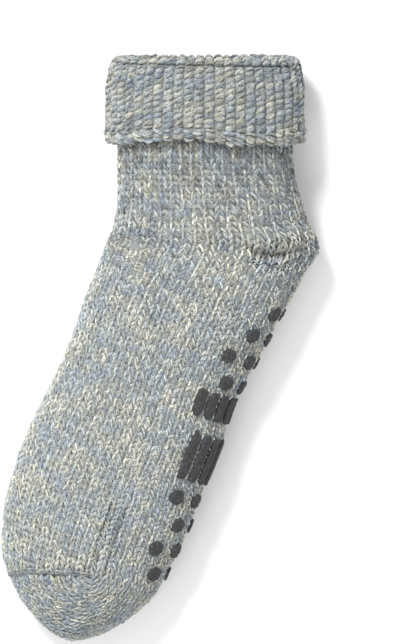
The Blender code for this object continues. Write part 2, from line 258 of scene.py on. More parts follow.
def section_curves():
    """Instep, sole, depth and edge power along the centre line."""
    places = [STARTS[row[0]] + row[1] * LENGTHS[row[0]] for row in SECTIONS]
    return {
        "instep": smooth_curve(places, [row[2] * row[3] for row in SECTIONS]),
        "sole": smooth_curve(places, [row[2] * row[4] for row in SECTIONS]),
        "depth": smooth_curve(places, [row[5] * row[6] for row in SECTIONS]),
        "edge": smooth_curve(places, [row[7] for row in SECTIONS]),
    }


CURVES = section_curves()


def lift(place):
    """Height of the leg's underside, which the cuff holds off the floor."""
    share = np.clip((place - CUFF_HEIGHT) / LANDING_RUN, 0.0, 1.0)
    return (CUFF_WALL + SEAT_GAP) * (1 - share ** 2 * (3 - 2 * share))


def crease(place, across, spread=1.0, give=1.0):
    """How deep the creases press the upper side in. The spread
    widens the troughs and the give deepens them."""
    troughs, puffs = np.zeros_like(across), np.zeros_like(across)
    for from_place, from_across, to_place, to_across, width, deep in CREASES:
        run_place = to_place - from_place
        run_across = to_across - from_across
        length = run_place ** 2 + run_across ** 2
        share = ((place - from_place) * run_place + (across - from_across) * run_across)
        share = np.clip(share / length, 0.0, 1.0)
        gap = np.hypot(place - from_place - share * run_place,
                       across - from_across - share * run_across)
        if deep > 0:
            reach = np.exp(-(gap / (width * spread)) ** 2)
            troughs = np.maximum(troughs, give * deep * reach)
        else:
            puffs = np.maximum(puffs, -deep * np.exp(-(gap / width) ** 2))
    return troughs - puffs


def skin(place, angle, outset=0.0, creased=False):
    """Points of the skin; angle 0 is the sole's edge, a quarter turn is the
    top, and the outset is measured from the skin. A creased skin gives way
    under the creases, wider and deeper than they are."""
    place, angle, outset = np.broadcast_arrays(place, angle, outset)
    place = place.astype(float)
    half = (CURVES["depth"](place) + SETTLE) / 2
    middle = lift(place) + half - SETTLE
    toe_share = np.clip((place - TOE) / (TOE_LENGTH + outset), 0.0, 1.0)
    middle = middle * (1 - TOE_DIP * toe_share ** 2)
    cos, sin = np.cos(angle), np.sin(angle)
    power = np.where(cos > 0, CURVES["edge"](place), INSTEP_POWER)
    side = np.where(cos > 0, CURVES["sole"](place), CURVES["instep"](place))
    across = (side + outset) * oval(toe_share, TOE_POINT) * power_of(cos, 2 / power)
    z = middle + (half + outset) * oval(toe_share, TOE_CROWN) * power_of(sin, 2 / power)
    if creased:
        z = z - np.where(sin > 0, crease(place, across, CREASE_SPREAD, CREASE_GIVE), 0.0)
    return on_plan(place, across, np.maximum(z, np.maximum(lift(place) - outset, 0.0)))


def across_of(points, place):
    """The way across from the centre line, at a place along it."""
    heading = np.interp(place, ENDS, HEADINGS)
    x = points[..., 0] - np.interp(place, SPINE[0], SPINE[1])
    y = points[..., 1] - np.interp(place, SPINE[0], SPINE[2])
    return x * np.cos(heading) - y * np.sin(heading)


# The turn counts even lengths around a section: 0 at the sole's edge, 1 at
# the instep's edge over the top, and on to 2 along the underside

TURN_PLACES = np.linspace(0.0, TOE + TOE_LENGTH * 0.97, 170)
TURN_SHARES = np.linspace(0.0, 1.0, 121)


def turn_table(sign):
    """The angle at each even share of the way around half a section."""
    angles = np.linspace(0.0, math.pi, 361)
    points = skin(TURN_PLACES[:, None], sign * angles[None, :])
    ways = ways_along(points)
    table = [np.interp(TURN_SHARES * way[-1], way, angles) for way in ways]
    return np.array(table), ways[:, -1]


UPPER_ANGLES, UPPER_WAYS = turn_table(1.0)
UNDER_ANGLES, UNDER_WAYS = turn_table(-1.0)


def between(table, place, share):
    """Reads a table of places and shares between its entries."""
    row = np.interp(place, TURN_PLACES, np.arange(len(TURN_PLACES)))
    return read_grid(table, row, share * (len(TURN_SHARES) - 1))


def angle_of(place, turn):
    """The section's angle at a turn."""
    turn = np.mod(turn, 2.0)
    upper = between(UPPER_ANGLES, place, np.clip(turn, 0.0, 1.0))
    under = between(UNDER_ANGLES, place, np.clip(2.0 - turn, 0.0, 1.0))
    return np.where(turn <= 1.0, upper, 2 * math.pi - under)


def tube_point(place, turn):
    place, turn = np.broadcast_arrays(place, turn)
    return skin(place, angle_of(place, turn))


# The toe's pocket: its wales run around the end of the gore like arcs, from
# the sole to the instep, and its courses run from gore end to gore end

GORE_SHARE = 0.13
GORE_ACROSS = 0.0044
SEAM_SLANT = math.radians(15.0)
FAN_END = math.pi - SEAM_SLANT
LONGEST_REACH = 0.075
LAST_SHARE = 0.9999


def pocket_table():
    """Points of the pocket by the way around it and the way across it."""
    fans = np.linspace(0.0, FAN_END, 121)
    shares = np.linspace(0.0, 1.0, 81)
    across_way, along_way = np.cos(fans)[:, None], np.sin(fans)[:, None]
    start = GORE_SHARE * TOE_LENGTH
    reach = np.linspace(0.0, LONGEST_REACH, 1501)[None, :]
    across = GORE_ACROSS + reach * across_way
    toe_share = np.clip((start + reach * along_way) / TOE_LENGTH, 0.0, 1.0)
    side = np.where(across > 0, CURVES["sole"](TOE), CURVES["instep"](TOE))
    limit = side * oval(toe_share, TOE_POINT)
    inside = np.abs(across) <= limit
    edge = reach[0][np.argmin(inside, axis=1) - 1]
    halves = np.linspace(0.0, math.pi, 241)
    radius = edge[:, None] * np.sin(halves)[None, :]
    across = GORE_ACROSS + radius * across_way
    toe_share = np.clip((start + radius * along_way) / TOE_LENGTH, 0.0, LAST_SHARE)
    place = TOE + toe_share * TOE_LENGTH
    power = np.where(across > 0, CURVES["edge"](place), INSTEP_POWER)
    side = np.where(across > 0, CURVES["sole"](place), CURVES["instep"](place))
    limit = side * oval(toe_share, TOE_POINT)
    crown = np.clip(np.abs(across) / np.maximum(limit, 1e-6), 0.0, 1.0)
    half = (CURVES["depth"](place) + SETTLE) / 2
    middle = (half - SETTLE) * (1 - TOE_DIP * toe_share ** 2)
    high = half * oval(toe_share, TOE_CROWN) * oval(crown, power)
    rise = np.where(halves[None, :] <= math.pi / 2, 1.0, -1.0)
    lines = on_plan(place, across, np.maximum(middle + rise * high, 0.0))
    table = np.empty((len(fans), len(shares), 3))
    for i, way in enumerate(ways_along(lines)):
        for axis in range(3):
            table[i, :, axis] = np.interp(shares * way[-1], way, lines[i, :, axis])
    return table


POCKET = pocket_table()


def pocket_point(fan, share):
    """A point of the pocket: fan 0 is the sole, 1 is at the seam."""
    fan, share = np.broadcast_arrays(fan, share)
    row = np.clip(fan, 0.0, 1.0) * (POCKET.shape[0] - 1)
    return read_grid(POCKET, row, np.clip(share, 0.0, 1.0) * (POCKET.shape[1] - 1))


def normals_of(surface, first, second, first_step, second_step):
    """Outward normals of a surface from its neighbouring points."""
    along = surface(first + first_step, second) - surface(first - first_step, second)
    around = surface(first, second + second_step) - surface(first, second - second_step)
    normal = np.cross(along, around)
    length = np.linalg.norm(normal, axis=-1, keepdims=True)
    return normal / np.maximum(length, 1e-12)


# Yarn, modelled once and copied

def clear_selection():
    if bpy.context.object and bpy.context.object.mode == "EDIT":
        bpy.ops.object.mode_set(mode="OBJECT")
    bpy.ops.object.select_all(action="DESELECT")


def face_outwards(merged=0.0):
    """Turns the faces of the piece in hand outwards, and may merge doubles."""
    bpy.ops.object.mode_set(mode="EDIT")
    bpy.ops.mesh.select_all(action="SELECT")
    if merged:
        bpy.ops.mesh.remove_doubles(threshold=merged)
    bpy.ops.mesh.normals_make_consistent(inside=False)
    bpy.ops.object.mode_set(mode="OBJECT")


def points_of(mesh):
    points = np.empty(len(mesh.vertices) * 3)
    mesh.vertices.foreach_get("co", points)
    return points.reshape(-1, 3)


def model_ply(name, sides, stations, run):
    """A ply of yarn in a unit cell, extruded from station to station along
    the cell's run: 0 is across the cell, 1 is along it. A station is its x,
    y, z, half width and half thickness; z and thickness are millimetres."""
    clear_selection()
    turn = (math.pi / 2, 0, 0) if run == 1 else (0, math.pi / 2, 0)
    bpy.ops.mesh.primitive_circle_add(vertices=sides, radius=1.0, fill_type="NGON", rotation=turn)
    ply = bpy.context.object
    ply.name = name
    bpy.ops.object.transform_apply(location=False, rotation=True, scale=False)
    bpy.ops.object.mode_set(mode="EDIT")
    bpy.ops.mesh.select_all(action="SELECT")

    def resize(wide, thick, centre):
        size = (wide, 1, thick) if run == 1 else (1, wide, thick)
        bpy.ops.transform.resize(value=size, center_override=centre)

    resize(stations[0][3], stations[0][4], (0, 0, 0))
    bpy.ops.transform.translate(value=stations[0][:3])
    for near, far in zip(stations[:-1], stations[1:]):
        step = tuple(far[i] - near[i] for i in range(3))
        bpy.ops.mesh.extrude_region_move(TRANSFORM_OT_translate={"value": step})
        resize(far[3] / near[3], far[4] / near[4], far[:3])
    face_outwards()
    return ply


def read_ply(ply, stations, run, number):
    """A ply's points and faces, each point's way along and around the ply,
    and the ply's number in its stitch."""
    points = points_of(ply.data)
    faces = [tuple(face.vertices) for face in ply.data.polygons]
    rows = np.array(stations)
    nearest = np.argmin(np.abs(points[:, None, run] - rows[None, :, run]), axis=1)
    sideways = (points[:, 1 - run] - rows[nearest, 1 - run]) / rows[nearest, 3]
    upwards = (points[:, 2] - rows[nearest, 2]) / rows[nearest, 4]
    along = nearest / (len(stations) - 1)
    around = np.arctan2(upwards, sideways) / (2 * math.pi) + 0.5
    bpy.data.objects.remove(ply, do_unlink=True)
    return points, faces, along, around, np.full(len(points), number)


def joined(plies):
    """The plies of one stitch as one template."""
    faces, first = [], 0
    for ply in plies:
        faces += [tuple(i + first for i in face) for face in ply[1]]
        first += len(ply[0])
    kept = [np.concatenate([ply[i] for ply in plies]) for i in (0, 2, 3, 4)]
    return kept[0], faces, kept[1], kept[2], kept[3]


# Two plies twist around each other: how far they are apart and how thick
# they are, in cell widths and in millimetres. Phases are the turns that the
# variants of a stitch start at
PLY_GAP = (0.118, 0.56)
PLY_SIZE = (0.116, 0.60)
PLY_PHASES = (0.3, 1.35, 2.4)
END_TAPER = 0.6

# The path of a stitch's right leg: along and across its cell, and height. It
# comes up between the legs of the older stitch and dives under the next one
LEG_PATH = (
    (0.07, -0.30, -2.05),
    (0.15, 0.10, -1.22),
    (0.235, 0.46, -1.00),
    (0.315, 0.86, -1.16),
    (0.37, 1.28, -2.05),
)
LEG_TWIST = -3.4

# A purl bump crosses its cell from groove to groove
BUMP_PATH = (
    (-0.50, 0.78, -3.10),
    (-0.40, 0.71, -1.60),
    (-0.21, 0.60, -0.85),
    (0.00, 0.49, -0.68),
    (0.21, 0.38, -0.85),
    (0.40, 0.27, -1.60),
    (0.50, 0.22, -3.10),
)
BUMP_TWIST = 4.2
BUMP_GAP = (0.22, 0.30)
BUMP_SIZE = (0.35, 0.66)
BUMP_PHASES = (0.2, 1.25, 2.3)

# A loop of the cast-on edge crosses its cell aslant: along and height at even
# steps across it, for loops that lean either way
EDGE_ACROSS = (-0.58, -0.44, -0.18, 0.14, 0.42, 0.58)
EDGE_HEIGHT = (-2.90, -1.20, -0.30, -0.20, -1.10, -2.90)
EDGE_LEANS = (0.52, 0.34, -0.16)
EDGE_TWIST = -3.6
EDGE_GAP = (0.17, 0.55)
EDGE_SIZE = (0.235, 0.92)
EDGE_PHASES = (0.2, 1.7)


def ply_stations(path, run, side, twist, phase, gap, size):
    """Stations of one ply that twists around a path."""
    stations = []
    last = len(path) - 1
    for i, (across, along, height) in enumerate(path):
        turn = phase + twist * i / last
        taper = END_TAPER if i in (0, last) else 1.0
        centre = [side * across, along, height + gap[1] * math.sin(turn)]
        centre[1 - run] += gap[0] * math.cos(turn)
        stations.append((*centre, size[0] * taper, size[1] * taper))
    return stations


def make_variants(name, sides, path, run, mirror, twist, gap, size, phases):
    """Templates of one stitch whose plies start at different turns."""
    variants = []
    for phase in phases:
        plies = []
        for side in ((1, -1) if mirror else (1,)):
            for start in (phase, phase + math.pi):
                stations = ply_stations(path, run, side, twist, start * side, gap, size)
                ply = model_ply(name, sides, stations, run)
                plies.append(read_ply(ply, stations, run, len(plies)))
        variants.append(joined(plies))
    return variants


def make_stitch():
    return make_variants("stitch", 4, LEG_PATH, 1, True, LEG_TWIST, PLY_GAP, PLY_SIZE,
                         PLY_PHASES)


def make_bump():
    return make_variants("purl_bump", 6, BUMP_PATH, 0, False, BUMP_TWIST, BUMP_GAP, BUMP_SIZE,
                         BUMP_PHASES)


def make_edge_loop():
    variants = []
    for lean in EDGE_LEANS:
        path = [(across, 0.5 + lean * across, height)
                for across, height in zip(EDGE_ACROSS, EDGE_HEIGHT)]
        variants += make_variants("edge_loop", 6, path, 0, False, EDGE_TWIST, EDGE_GAP,
                                  EDGE_SIZE, EDGE_PHASES)
    return variants


def mesh_from(name, points, faces, counts, colour=None):
    """A mesh from arrays: corner indices face by face, corners per face."""
    mesh = bpy.data.meshes.new(name)
    mesh.vertices.add(len(points))
    mesh.vertices.foreach_set("co", points.reshape(-1))
    mesh.loops.add(len(faces))
    mesh.loops.foreach_set("vertex_index", faces)
    mesh.polygons.add(len(counts))
    mesh.polygons.foreach_set("loop_start", np.concatenate(([0], np.cumsum(counts)[:-1])))
    mesh.polygons.foreach_set("loop_total", counts)
    mesh.polygons.foreach_set("use_smooth", np.ones(len(counts), dtype=bool))
    mesh.update(calc_edges=True)
    if colour is not None:
        marl = mesh.attributes.new("marl", "FLOAT_COLOR", "POINT")
        marl.data.foreach_set("color", colour.reshape(-1))
    return mesh


def finish_piece(piece, material, stands_for=()):
    """Gives a piece its material and body, and what it stands for."""
    piece.data.materials.clear()
    piece.data.materials.append(material)
    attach(piece, "root")
    if stands_for:
        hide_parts(*stands_for)


# How unevenly stitches lie: shift across and along their cells, and spread, in
# cells, and the least and most that they stand up, in millimetres
STITCH_SHIFT = np.array((0.025, 0.05))
STITCH_SPREAD = 0.05
STITCH_STATURE = (-0.30, 0.12)
MILLIMETRE = 0.001
UPPER_SIDE = -0.1


def lay_copies(name, variants, cells, tones, material, looseness=1.0, stands_for=()):
    """One mesh with a copy of a stitch in each cell. A cell's corners are the
    left and right of its older edge, then of its newer edge. Where a cell's
    places are given as well, its yarn follows the creases."""
    corners, normals = cells[:2]
    count = len(corners)
    _points, faces, along, around, ply = variants[0]
    choice = RANDOM.integers(0, len(variants), count)
    shapes = np.stack([variant[0] for variant in variants])[choice]
    shift = RANDOM.normal(0.0, 1.0, (count, 1, 2)) * STITCH_SHIFT * looseness
    spread = 1 + RANDOM.normal(0.0, STITCH_SPREAD, (count, 1, 2)) * looseness
    flat = shapes[:, :, :2] * spread + shift
    right = flat[:, :, 0] + 0.5
    newer = flat[:, :, 1]
    weights = np.stack(((1 - right) * (1 - newer), right * (1 - newer),
                        (1 - right) * newer, right * newer), axis=2)
    placed = np.einsum("nvk,nkx->nvx", weights, corners)
    raised = np.einsum("nvk,nkx->nvx", np.clip(weights, 0.0, 1.0), normals)
    raised /= np.linalg.norm(raised, axis=2, keepdims=True)
    stature = RANDOM.uniform(*STITCH_STATURE, (count, 1)) * looseness
    height = (shapes[:, :, 2] + stature) * MILLIMETRE
    pressed = np.zeros_like(height)
    if len(cells) > 2:
        place = np.einsum("nvk,nk->nv", weights, cells[2])
        across = np.einsum("nvk,nk->nv", weights, across_of(corners, cells[2]))
        pressed = np.where(raised[:, :, 2] > UPPER_SIDE, crease(place, across), 0.0)
        height = height - pressed
    placed = placed + raised * height[:, :, None]
    placed[:, :, 2] = np.maximum(placed[:, :, 2], 0.0)
    across, down = corners[:, 1] - corners[:, 0], corners[:, 2] - corners[:, 0]
    turned = np.median(np.einsum("nx,nx->n", np.cross(across, down), normals[:, 0])) < 0
    order = [tuple(reversed(face)) for face in faces] if turned else faces
    corner_list = np.array([i for face in order for i in face])
    offsets = (np.arange(count) * len(along))[:, None]
    colour = np.empty((count, len(along), 4))
    colour[:, :, 0] = tones[:, ply, 0]
    # Painted shade: yarn pressed into a crease is darkened
    colour[:, :, 1] = tones[:, ply, 1] * (1 - CREASE_PAINTED_SHADE * np.clip(pressed, 0.0, None))
    colour[:, :, 2] = along[None, :]
    colour[:, :, 3] = around[None, :]
    mesh = mesh_from(name, placed.reshape(-1, 3), (corner_list[None, :] + offsets).reshape(-1),
                     np.tile([len(face) for face in faces], count), colour)
    piece = bpy.data.objects.new(name, mesh)
    bpy.context.scene.collection.objects.link(piece)
    finish_piece(piece, material, stands_for)


# The yarn changes tone along its length, from blue grey to beige: in patches
# over the knit, in runs along the yarn, and in specks from ply to ply. Of a
# stitch's two plies one is light and the other dark, now and then swapped

TONE_GRID = RANDOM.uniform(0.0, 1.0, (60, 60))
GRID_REACH = 58.0
YARN_TONES = RANDOM.uniform(0.0, 1.0, (4000, 2))
PATCH_COURSES, PATCH_WALES = 1.9, 1.15
RUN_STITCHES = 2.5
PATCH_PART, RUN_PART, SPECK_PART = 0.9, 0.5, 0.4
PLY_TONE = 0.08
SWAPPED = 0.22
LIGHT_PLY, DARK_PLY = 1.15, 0.82
LEVEL_SPREAD = 0.11
LEAST_LEVEL = 0.05
FULL_LEVEL = 2.0

# Painted shade by place along the sock: the cuff, the leg and the toe are darker
# than the foot, for light that falls off away from the foot
PAINTED_SHADE = smooth_curve((0.00, 0.09, 0.14, 0.25, 0.30, 0.33), (0.57, 0.76, 0.87, 0.89, 0.87, 0.83))

# The plies differ most on the leg and least on the ball of the foot
LIVELY = smooth_curve((0.00, 0.09, 0.13, 0.19, 0.25, 0.33), (1.60, 1.55, 1.05, 0.90, 0.65, 0.72))
TOE_PAINTED_SHADE, TOE_LIVELY = PAINTED_SHADE(0.31), LIVELY(0.31)


def tones_at(wale, course, plies, shade, lively=1.0):
    """Tone and lightness of each ply of each stitch; the lightness is darkened by painted shade.
    """
    patch = read_grid(TONE_GRID, np.mod(np.asarray(course) / PATCH_COURSES, GRID_REACH),
                      np.mod(np.asarray(wale) / PATCH_WALES, GRID_REACH))
    count = len(patch)
    tones = np.empty((count, plies, 2))
    swapped = RANDOM.uniform(0.0, 1.0, (count, plies)) < SWAPPED
    for ply in range(plies):
        strand = ply % 2
        yarn = (np.round(course) * WALES + wale + ply / 2) / RUN_STITCHES
        run = np.interp(np.mod(yarn, len(YARN_TONES) - 1.0), np.arange(len(YARN_TONES)),
                        YARN_TONES[:, strand])
        speck = RANDOM.uniform(0.0, 1.0, count)
        tone = (0.5 + PATCH_PART * (patch - 0.5) + RUN_PART * (run - 0.5)
                + SPECK_PART * (speck - 0.5))
        light = (strand == 0) ^ swapped[:, ply]
        level = np.where(light, LIGHT_PLY, DARK_PLY) + RANDOM.normal(0.0, LEVEL_SPREAD, count)
        level = 1 + lively * (level - 1)
        tones[:, ply, 0] = np.clip(tone + np.where(light, PLY_TONE, -PLY_TONE), 0.0, 1.0)
        tones[:, ply, 1] = np.clip(level * shade / FULL_LEVEL, LEAST_LEVEL, 1.0)
    return tones


# Cells of the knit. The heel's sole side is knitted from both ends to the
# place of its gore

UNDER_CUFF = 0.0380
ANKLE_TOP = 0.0776
FOOT_TOP = 0.1526
GORE_TURN = 0.47
GORE_PLACE = ANKLE_TOP + 9 * COURSE
POCKET_TOP = TOE + GORE_SHARE * TOE_LENGTH
TURN_STEP = 2.0 / WALES
NUDGE = 0.0012
LEAST_COURSE = 0.35


def tube_cells(near, far, wales):
    """Corners and normals of cells on the tube, from arrays of places."""
    turns = wales * TURN_STEP
    place = np.stack((near, near, far, far), axis=1)
    turn = np.stack((turns + TURN_STEP, turns, turns + TURN_STEP, turns), axis=1)
    corners = tube_point(place, turn)
    normals = -normals_of(tube_point, place, turn, NUDGE, TURN_STEP / 2)
    return corners, normals, place


def straight_cells(start, end, wales):
    """Cells in even courses between two places, on these wales."""
    count = max(1, round((end - start) / COURSE))
    edges = np.linspace(start, end, count + 1)
    near, wale = np.meshgrid(edges[:-1], wales, indexing="ij")
    far, _wale = np.meshgrid(edges[1:], wales, indexing="ij")
    return near.ravel(), far.ravel(), wale.ravel()


def stepped_cells(start, end, wales):
    """Cells that start at one place and step along each wale by the course's
    real height until they reach the other place."""
    groups = []
    for wale in wales:
        places = np.linspace(start, end, 80)
        line = tube_point(places, (wale + 0.5) * TURN_STEP)
        way = ways_along(line)
        count = max(1, math.ceil(way[-1] / COURSE - LEAST_COURSE))
        stops = np.sort(np.interp(np.minimum(np.arange(count + 1) * COURSE, way[-1]), way, places))
        groups.append((stops[:-1], stops[1:], np.full(count, wale)))
    return tuple(np.concatenate(column) for column in zip(*groups))


def sole_wales():
    turn = (np.arange(WALES) + 0.5) * TURN_STEP
    return np.arange(WALES)[(turn < GORE_TURN) | (turn > 2.0 - GORE_TURN)]


def instep_wales():
    return np.setdiff1d(np.arange(WALES), sole_wales())


def seam_stop(wale):
    """Where an instep wale ends at the toe seam."""
    middle = (wale + 0.5) * TURN_STEP
    side = np.clip(1.0 - np.abs(middle - 1.0) / (1.0 - GORE_TURN), 0.0, 1.0)
    across = np.sin(side * math.pi / 2)
    return POCKET_TOP + across * CURVES["instep"](TOE) * math.tan(SEAM_SLANT)


def add_knit(name, groups, stitch, material):
    """One piece of knit from groups of cells."""
    near, far, wale = (np.concatenate(column) for column in zip(*groups))
    tones = tones_at(wale, near / COURSE, 4, PAINTED_SHADE(near), LIVELY(near))
    lay_copies(name, stitch, tube_cells(near, far, wale), tones, material)


def build_knit(stitch, material):
    every = np.arange(WALES)
    sole, instep = sole_wales(), instep_wales()
    half = (FOOT_TOP + TOE) / 2
    add_knit("leg_stitches", [straight_cells(UNDER_CUFF, ANKLE_TOP, every)], stitch, material)
    add_knit("heel_stitches", [
        straight_cells(ANKLE_TOP, FOOT_TOP, instep),
        stepped_cells(ANKLE_TOP, GORE_PLACE, sole),
        stepped_cells(FOOT_TOP, GORE_PLACE, sole)], stitch, material)
    add_knit("midfoot_stitches", [straight_cells(FOOT_TOP, half, every)], stitch, material)
    ball = [straight_cells(half, TOE, every), straight_cells(TOE, POCKET_TOP, sole)]
    ball += [stepped_cells(TOE, float(seam_stop(wale)), [wale]) for wale in instep]
    add_knit("ball_stitches", ball, stitch, material)


# Where the yarn of the pieces outside the tube is read in the tone tables
CUFF_COURSES, EDGE_COURSES, SEAM_COURSE, TOE_COURSES = 90, 140, 170.0, 200

# The pocket's normals are taken a little inside its edges
FAN_MARGIN, SHARE_MARGIN = 0.012, 0.02
FAN_NUDGE, SHARE_NUDGE = 0.01, 0.015


def build_pocket(stitch, material):
    """The toe's stitches: each wale has as many courses as its arc needs."""
    lanes = len(sole_wales())
    corners, normals, tones = [], [], []
    for lane in range(lanes):
        fans = np.linspace(0.0, 1.0, 160)
        line = pocket_point(fans, (lane + 0.5) / lanes)
        way = ways_along(line)
        count = max(1, round(way[-1] / COURSE))
        stops = np.interp(np.linspace(0.0, way[-1], count + 1), way, fans)
        near, far = stops[:-1], stops[1:]
        fan = np.stack((near, near, far, far), axis=1)
        left, right = np.full_like(near, lane / lanes), np.full_like(near, (lane + 1) / lanes)
        share = np.stack((left, right, left, right), axis=1)
        corners.append(pocket_point(fan, share))
        inner_fan = np.clip(fan, FAN_MARGIN, 1 - FAN_MARGIN)
        inner_share = np.clip(share, SHARE_MARGIN, 1 - SHARE_MARGIN)
        normals.append(normals_of(pocket_point, inner_fan, inner_share, FAN_NUDGE, SHARE_NUDGE))
        tones.append(tones_at(np.full(count, lane), TOE_COURSES + np.arange(count), 4,
                              TOE_PAINTED_SHADE, TOE_LIVELY))
    corners = np.concatenate(corners)
    start = skin(TOE, 0.0)
    place = TOE - (corners[..., 0] - start[0]) * math.sin(HEADINGS[-1])
    place = place - (corners[..., 1] - start[1]) * math.cos(HEADINGS[-1])
    cells = corners, np.concatenate(normals), place
    lay_copies("toe_stitches", stitch, cells, np.concatenate(tones), material)


# The ground under the stitches: the hollow wall itself

GROUND_DEPTH = 0.0013
GROUND_GRID = (84, 120)
TUBE_SHARE = 0.86
LAST_TURN = 1.9999


def place_points(piece, shaped, marks=()):
    """Moves a new piece's points, and keeps numbers on them."""
    mesh = piece.data
    mesh.vertices.foreach_set("co", shaped.reshape(-1))
    for label, values in marks:
        attribute = mesh.attributes.new(label, "FLOAT", "POINT")
        attribute.data.foreach_set("value", values)
    mesh.update()


def build_ground(material):
    clear_selection()
    bpy.ops.mesh.primitive_grid_add(x_subdivisions=GROUND_GRID[0], y_subdivisions=GROUND_GRID[1],
                                    size=1.0)
    ground = bpy.context.object
    ground.name = "knit_ground"
    points = points_of(ground.data)
    turn = (points[:, 0] + 0.5) * 2.0
    share = 0.5 - points[:, 1]
    rim = FOLD_HEIGHT + SEAT_GAP
    nose = np.sin(np.clip((share - TUBE_SHARE) / (1 - TUBE_SHARE), 0.0, 1.0) * math.pi / 2)
    place = np.where(share <= TUBE_SHARE, rim + (TOE - rim) * share / TUBE_SHARE,
                     TOE + nose * (TOE_LENGTH - GROUND_DEPTH))
    angle = angle_of(np.minimum(place, TURN_PLACES[-1]), np.minimum(turn, LAST_TURN))
    angle = np.where(turn > LAST_TURN, 2 * math.pi, angle)
    place_points(ground, skin(place, angle, -GROUND_DEPTH, True),
                 (("wale", turn * WALES / 2), ("course", place / COURSE)))
    face_outwards(0.00001)
    wall = ground.modifiers.new("wall", "SOLIDIFY")
    wall.thickness = WALL - GROUND_DEPTH
    wall.offset = -1.0
    bpy.ops.object.modifier_apply(modifier="wall")
    bpy.ops.object.shade_smooth()
    finish_piece(ground, material, ("knit_sock",))


# The turned-over cuff: purl bumps in columns over a ribbed ground

RIBS = 48
RIB_COURSE = 0.0031
RIB_GROUND_DEPTH = 0.0013
GROOVE = 0.0010
GROUND_ROWS = 46
POINTS_PER_RIB = 4
EDGE_ROWS = 2
# Painted shade: the cast-on edge takes less of the cuff's painted shade than the bumps
EDGE_PAINTED_SHADE = 1.12
# Painted shade: cells inside the lip are darker, for the shade inside the collar
LIP_PAINTED_SHADE = 0.55
BUMP_LOOSENESS = 1.5
EDGE_LOOSENESS = 2.4
LEAST_CELL = 0.4
FIRST_WAY = 0.0002
WAY_NUDGE = 0.0008
TURN_NUDGE = 0.01

# The near rim shows as a dark line under the fold, across the upper side: the
# way from the fold's start to it, how much it slants, and its gap
RIM_WAY = 0.0011
RIM_SLANT = 0.0008
RIM_GAP = 0.0010

# How far the cast-on edge sags below its mean, by the turn around the leg
SAG = smooth_curve(
    (0.00, 0.164, 0.244, 0.384, 0.460, 0.544, 0.656, 0.748, 0.860, 1.00, 1.50, 2.00),
    (0.0002, 0.0013, 0.0008, 0.0011, -0.0013, -0.0024, -0.0016, -0.0013, 0.0011, 0.0006,
     -0.0006, 0.0002))


def cuff_path():
    """The cuff's outer face from the cast-on edge over the fold to the lip:
    way below the fold and outset from the leg, by the way along the face."""
    face = SEAT_GAP + CUFF_WALL + CUFF_FLARE
    lip = -WALL - SEAT_GAP - CUFF_LIP_WALL
    rows = np.array((
        (CUFF_HEIGHT - 0.0005, face - 0.0014),
        (CUFF_HEIGHT - EDGE_BAND_HEIGHT / 2, face + EDGE_BAND_RISE),
        (CUFF_HEIGHT - EDGE_BAND_HEIGHT, face),
        (CUFF_HEIGHT * 0.45, face),
        (CUFF_HEIGHT * 0.18, SEAT_GAP + CUFF_WALL),
        (FOLD_HEIGHT, SEAT_GAP + CUFF_WALL * 0.7),
        (FOLD_HEIGHT * 0.25, SEAT_GAP + CUFF_WALL * 0.25),
        (0.0, SEAT_GAP - WALL / 2),
        (FOLD_HEIGHT * 0.25, lip * 0.72),
        (FOLD_HEIGHT, lip),
        (CUFF_LIP_HEIGHT, lip),
    ))
    ways = ways_along(rows)
    return ways, smooth_curve(ways, rows[:, 0]), smooth_curve(ways, rows[:, 1])


CUFF_WAYS, CUFF_PLACE, CUFF_OUTSET = cuff_path()
BAND_TOP, FOLD_START = float(CUFF_WAYS[2]), float(CUFF_WAYS[5])


def cuff_point(way, turn):
    """A point of the cuff's outer face, by the way up from its edge."""
    way, turn = np.broadcast_arrays(way, turn)
    place, outset = CUFF_PLACE(way), CUFF_OUTSET(way)
    outside = np.clip((outset + WALL) / CUFF_WALL, 0.0, 1.0)
    sagged = place + SAG(np.mod(turn, 2.0)) * (place / CUFF_HEIGHT) * outside
    return skin(sagged, angle_of(np.clip(place, 0.0, None), turn), outset)


def cuff_cells(start, end, rows, phases):
    """Corners and normals of the cuff's cells; older is nearer the fold. Each
    column starts at its own phase of a row, and stops at the near rim."""
    row_height = (end - start) / rows
    least = LEAST_CELL * row_height
    step = 2.0 / len(phases)
    stops, column = [], []
    for i, phase in enumerate(phases):
        inner = start + (np.arange(1, rows + 1) - phase) * row_height
        inner = inner[(inner > start + least) & (inner < end - least)]
        turn = (i + 0.5) * step
        rim = FOLD_START - RIM_WAY - RIM_SLANT * math.cos(math.pi * turn)
        if turn < 1.0 and start < rim < end:
            inner = np.sort(np.append(inner[np.abs(inner - rim) > least], rim))
        gaps = np.where((inner == rim) & (turn < 1.0), RIM_GAP / 2, 0.0)
        edges = np.concatenate(([start], inner, [end]))
        stops.append(np.stack((edges[:-1] + np.append(0.0, gaps),
                               edges[1:] - np.append(gaps, 0.0))))
        column.append(np.full(len(edges) - 1, i))
    low, high = np.concatenate(stops, axis=1)
    column = np.concatenate(column)
    way = np.stack((high, high, low, low), axis=1)
    turn = np.stack((column + 1, column, column + 1, column), axis=1) * step
    corners = cuff_point(way, turn)
    normals = normals_of(cuff_point, way, turn, WAY_NUDGE, step / 2)
    # Painted shade: the cuff takes the painted shade of the sock's top end, darker still inside
    # the lip
    shade = PAINTED_SHADE(0.0) * np.where(CUFF_OUTSET(low) < -WALL, LIP_PAINTED_SHADE, 1.0)
    place = np.where(CUFF_OUTSET(way) > 0, CUFF_PLACE(way), -1.0)
    return (corners, normals, place), column, way[:, 0] / RIB_COURSE, shade


